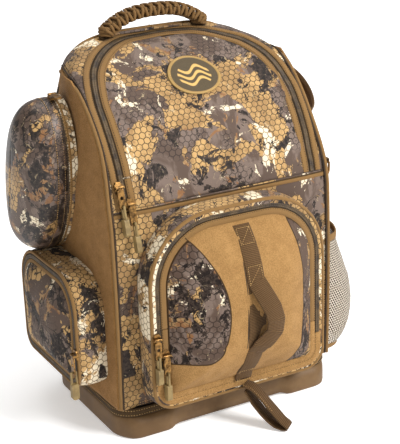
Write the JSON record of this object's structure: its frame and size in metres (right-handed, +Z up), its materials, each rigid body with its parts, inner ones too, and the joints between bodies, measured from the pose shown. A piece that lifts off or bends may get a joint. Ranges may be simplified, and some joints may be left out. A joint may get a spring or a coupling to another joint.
{
  "type": "tackle backpack",
  "caption": "Fishing tackle backpack with a moulded boot, U-zip main flap, domed front pocket, side pockets, shell case and padded straps.",
  "frame": {"origin": "on the floor, under the middle of the moulded boot", "axes": "+X to the right seen from the front, -Y to the front, +Z up"},
  "size_m": [0.4712, 0.3616, 0.531],
  "materials": {
    "boot": "satin moulded",
    "canvas": "woven, coyote tan",
    "camo": "printed weave in tan, grey-brown and straw patches",
    "case_shell": "printed moulded shell, tan and grey-brown patches",
    "zip_tape": "zip tape and teeth, dark olive-brown",
    "webbing": "ribbed webbing, dark brown",
    "paracord": "braided cord",
    "pad_mesh": "spacer mesh",
    "bottle_mesh": "open mesh",
    "strap_cloth": "woven, coyote tan",
    "stiff_board": "smooth",
    "buckle": "satin",
    "antique_brass": "antique",
    "pull_end": "moulded",
    "patch": "embossed"
  },
  "bodies": {
    "pack": {"base_tray": "boot", "base_binding": "zip_tape", "floor_board": "stiff_board", "back_panel": "canvas", "frame_sheet": "stiff_board", "side_panel_left": "canvas", "side_panel_right": "canvas", "front_panel": "camo", "top_wrap": "camo", "edge_piping": "canvas", "main_zip_body": "zip_tape", "front_gusset": "camo", "front_zip_body": "zip_tape", "front_face_lower": "canvas", "webbing_lower": "webbing", "case_tub": "camo", "side_gusset": "camo", "side_zip_body": "zip_tape", "side_face_lower": "camo", "mesh_pocket": "bottle_mesh", "mesh_hem": "canvas", "handle_anchors": "webbing", "back_pads": "pad_mesh", "lumbar_pad": "pad_mesh", "shoulder_strap_left": "strap_cloth", "shoulder_strap_right": "strap_cloth", "strap_webbing": "webbing", "ladder_locks": "buckle", "strap_wings": "canvas", "side_webbing": "webbing"},
    "main_flap_body": {"main_flap": "camo", "main_zip_flap": "zip_tape", "emblem_patch": "patch"},
    "front_flap_body": {"front_face_upper": "camo", "front_zip_flap": "zip_tape", "webbing_upper": "webbing"},
    "side_flap_body": {"side_face_upper": "camo", "side_zip_flap": "zip_tape"},
    "case_lid_body": {"case_lid": "case_shell"},
    "handle_body": {"carry_handle": "paracord"},
    "drag_loop_body": {"drag_loop": "webbing"},
    "d_ring_body": {"d_ring": "antique_brass"},
    "main_slider_a_body": {"main_slider_a": "antique_brass"},
    "main_tab_a_body": {"main_tab_a": "antique_brass"},
    "main_cord_a_body": {"main_cord_a": "pull_end"},
    "main_slider_b_body": {"main_slider_b": "antique_brass"},
    "main_tab_b_body": {"main_tab_b": "antique_brass"},
    "main_cord_b_body": {"main_cord_b": "pull_end"},
    "front_slider_a_body": {"front_slider_a": "antique_brass"},
    "front_tab_a_body": {"front_tab_a": "antique_brass"},
    "front_cord_a_body": {"front_cord_a": "pull_end"},
    "front_slider_b_body": {"front_slider_b": "antique_brass"},
    "front_tab_b_body": {"front_tab_b": "antique_brass"},
    "front_cord_b_body": {"front_cord_b": "pull_end"},
    "side_slider_body": {"side_slider": "antique_brass"},
    "side_tab_body": {"side_tab": "antique_brass"},
    "side_cord_body": {"side_cord": "pull_end"},
    "case_slider_body": {"case_slider": "antique_brass"},
    "case_tab_body": {"case_tab": "antique_brass"}
  },
  "joints": [
    {"name": "main_flap_fold", "type": "hinge", "parent": "pack", "child": "main_flap_body", "pos_m": [0, -0.1054, 0.315], "axis": [1, 0, 0], "range_deg": [0, 95]},
    {"name": "front_flap_fold", "type": "hinge", "parent": "pack", "child": "front_flap_body", "pos_m": [0, -0.1892, 0.118], "axis": [1, 0, 0], "range_deg": [0, 95]},
    {"name": "side_flap_fold", "type": "hinge", "parent": "pack", "child": "side_flap_body", "pos_m": [-0.2198, 0.011, 0.112], "axis": [0, -1, 0], "range_deg": [0, 90]},
    {"name": "case_lid_hinge", "type": "hinge", "parent": "pack", "child": "case_lid_body", "pos_m": [-0.175, 0.1084, 0.331], "axis": [0, 0, -1], "range_deg": [0, 90]},
    {"name": "handle_swing", "type": "hinge", "parent": "pack", "child": "handle_body", "pos_m": [0, 0.072, 0.499], "axis": [1, 0, 0], "range_deg": [-35, 35]},
    {"name": "drag_loop_lift", "type": "hinge", "parent": "pack", "child": "drag_loop_body", "pos_m": [0, -0.1512, 0.058], "axis": [-0.766, -0.6428, 0], "range_deg": [0, 30]},
    {"name": "d_ring_swing", "type": "hinge", "parent": "pack", "child": "d_ring_body", "pos_m": [0.1674, -0.088, 0.322], "axis": [0, -1, 0], "range_deg": [0, 100]},
    {"name": "main_slider_a_run", "type": "hinge", "parent": "pack", "child": "main_slider_a_body", "pos_m": [-0.144, 0.118, 0.27], "axis": [-1, 0, 0], "range_deg": [0, 18]},
    {"name": "main_tab_a_swing", "type": "hinge", "parent": "main_slider_a_body", "child": "main_tab_a_body", "pos_m": [-0.144, -0.10274, 0.34644], "axis": [-1, 0, 0], "range_deg": [0, 60]},
    {"name": "main_cord_a_swing", "type": "hinge", "parent": "main_tab_a_body", "child": "main_cord_a_body", "pos_m": [-0.144, -0.10855, 0.32315], "axis": [-1, 0, 0], "range_deg": [0, 20]},
    {"name": "main_slider_b_run", "type": "hinge", "parent": "pack", "child": "main_slider_b_body", "pos_m": [-0.1326, 0.118, 0.27], "axis": [-1, 0, 0], "range_deg": [0, 1.4]},
    {"name": "main_tab_b_swing", "type": "hinge", "parent": "main_slider_b_body", "child": "main_tab_b_body", "pos_m": [-0.1326, -0.10915, 0.32453], "axis": [-1, 0, 0], "range_deg": [0, 40]},
    {"name": "main_cord_b_swing", "type": "hinge", "parent": "main_tab_b_body", "child": "main_cord_b_body", "pos_m": [-0.1326, -0.11495, 0.30125], "axis": [-1, 0, 0], "range_deg": [0, 20]},
    {"name": "front_slider_a_run", "type": "slide", "parent": "pack", "child": "front_slider_a_body", "axis": [0, 0, 1], "range_m": [0, 0.052]},
    {"name": "front_tab_a_swing", "type": "hinge", "parent": "front_slider_a_body", "child": "front_tab_a_body", "pos_m": [-0.1244, -0.1486, 0.152], "axis": [-1, 0, 0], "range_deg": [0, 60]},
    {"name": "front_cord_a_swing", "type": "hinge", "parent": "front_tab_a_body", "child": "front_cord_a_body", "pos_m": [-0.1244, -0.1486, 0.128], "axis": [-1, 0, 0], "range_deg": [0, 20]},
    {"name": "front_slider_b_run", "type": "slide", "parent": "pack", "child": "front_slider_b_body", "axis": [0, 0, 1], "range_m": [0, 0.009]},
    {"name": "front_tab_b_swing", "type": "hinge", "parent": "front_slider_b_body", "child": "front_tab_b_body", "pos_m": [-0.1128, -0.1486, 0.127], "axis": [-1, 0, 0], "range_deg": [0, 60]},
    {"name": "front_cord_b_swing", "type": "hinge", "parent": "front_tab_b_body", "child": "front_cord_b_body", "pos_m": [-0.1128, -0.1486, 0.103], "axis": [-1, 0, 0], "range_deg": [0, 20]},
    {"name": "side_slider_run", "type": "slide", "parent": "pack", "child": "side_slider_body", "axis": [0, 0, 1], "range_m": [0, 0.046]},
    {"name": "side_tab_swing", "type": "hinge", "parent": "side_slider_body", "child": "side_tab_body", "pos_m": [-0.2116, -0.0754, 0.124], "axis": [0, 1, 0], "range_deg": [0, 60]},
    {"name": "side_cord_swing", "type": "hinge", "parent": "side_tab_body", "child": "side_cord_body", "pos_m": [-0.2116, -0.0754, 0.1], "axis": [0, 1, 0], "range_deg": [0, 20]},
    {"name": "case_slider_run", "type": "slide", "parent": "pack", "child": "case_slider_body", "axis": [0, 1, 0], "range_m": [0, 0.01]},
    {"name": "case_tab_swing", "type": "hinge", "parent": "case_slider_body", "child": "case_tab_body", "pos_m": [-0.174, 0.022, 0.44313], "axis": [-1, 0, 0], "range_deg": [0, 90]}
  ]
}
